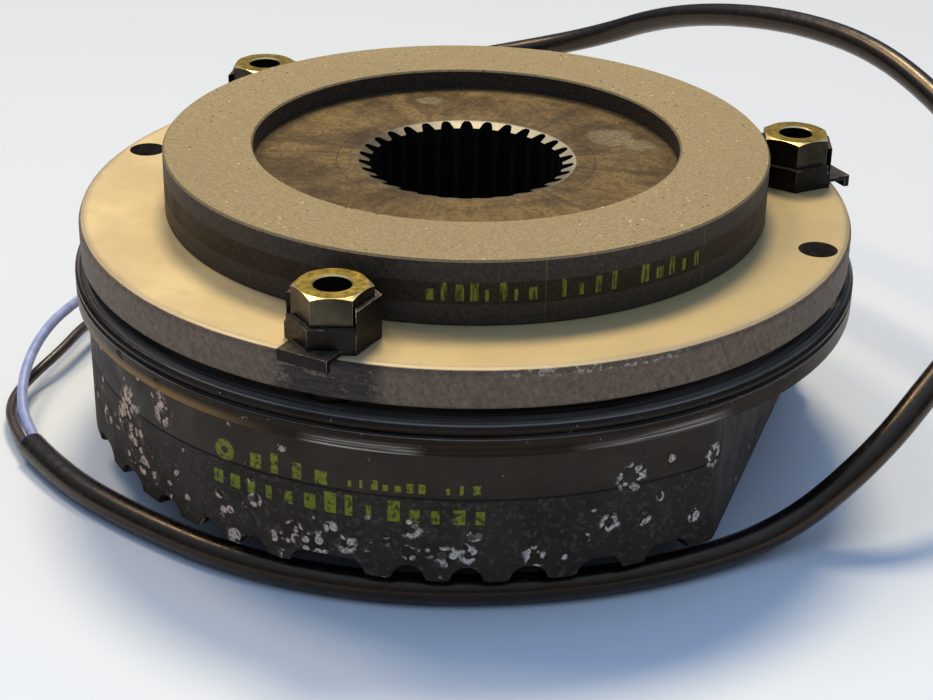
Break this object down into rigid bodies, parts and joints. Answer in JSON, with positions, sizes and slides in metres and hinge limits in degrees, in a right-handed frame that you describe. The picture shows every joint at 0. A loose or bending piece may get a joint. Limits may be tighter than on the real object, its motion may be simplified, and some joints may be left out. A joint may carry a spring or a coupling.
{
  "type": "spring-applied electromagnetic brake",
  "caption": "Spring-applied electromagnetic brake with splined friction rotor, armature plate, hollow fixing sleeves and a stripped connection lead.",
  "frame": {"origin": "centre of the shaft passage in the plane of the rear land of the stator, which the unit stands on", "axes": "+Z along the shaft axis from the stator to the friction rotor; one fixing sleeve is at azimuth -109 degrees from +X"},
  "size_m": [0.2016, 0.2221, 0.0592],
  "materials": {
    "cast_body": "black painted casting with white corrosion spots",
    "bobbin_plastic": "moulded nylon",
    "enamelled_copper": "enamelled copper wire",
    "potting_resin": "cast resin",
    "adjuster_zinc": "turned steel, yellow passivated",
    "armature_steel": "phosphated and oiled steel, satin",
    "carrier_alloy": "aluminium under brake dust",
    "friction_lining": "asbestos-free friction material, ground",
    "spline_alloy": "broached teeth, dark with dust",
    "grommet_rubber": "moulded rubber",
    "lead_sleeving": "insulating sleeving",
    "cable_sheath": "black sheath, slightly glossy",
    "core_blue": "light blue insulation",
    "core_brown": "brown insulation",
    "ferrule_tin": "tinned copper",
    "spring_steel": "oiled spring wire",
    "sleeve_zinc": "yellow passivated zinc",
    "clip_black": "black sheet steel"
  },
  "bodies": {
    "stator": {"stator_housing": "cast_body", "coil_bobbin": "bobbin_plastic", "coil_winding": "enamelled_copper", "coil_potting_ring": "potting_resin", "pressure_spring_1": "spring_steel", "pressure_spring_2": "spring_steel", "pressure_spring_3": "spring_steel", "pressure_spring_4": "spring_steel", "pressure_spring_5": "spring_steel", "pressure_spring_6": "spring_steel", "sleeve_bolt_1": "sleeve_zinc", "sleeve_bolt_2": "sleeve_zinc", "sleeve_bolt_3": "sleeve_zinc", "locking_clip_1": "clip_black", "locking_clip_2": "clip_black", "locking_clip_3": "clip_black", "cable_grommet": "grommet_rubber", "coil_lead_1": "lead_sleeving", "coil_lead_2": "lead_sleeving", "connection_cable": "cable_sheath", "core_wire_blue": "core_blue", "core_wire_brown": "core_brown", "ferrule_blue": "ferrule_tin", "ferrule_brown": "ferrule_tin"},
    "adjuster": {"adjuster_ring": "adjuster_zinc"},
    "armature": {"armature_plate": "armature_steel"},
    "rotor": {"rotor_carrier": "carrier_alloy", "spline_bush": "spline_alloy", "outer_friction_lining": "friction_lining", "inner_friction_lining": "friction_lining"}
  },
  "joints": [
    {"name": "armature_slide", "type": "slide", "parent": "stator", "child": "armature", "axis": [0, 0, 1], "range_m": [-0.00248, 0], "stiffness_N_per_m": 10000, "springref_m": 0.003, "deforming": ["pressure_spring_1", "pressure_spring_2", "pressure_spring_3", "pressure_spring_4", "pressure_spring_5", "pressure_spring_6"]},
    {"name": "rotor_spin", "type": "hinge", "parent": "armature", "child": "rotor", "pos_m": [0, 0, 0.053], "axis": [0, 0, 1], "continuous": true},
    {"name": "adjuster_turn", "type": "hinge", "parent": "stator", "child": "adjuster", "pos_m": [0, 0, 0.004], "axis": [0, 0, 1], "range_deg": [0, 360]}
  ]
}
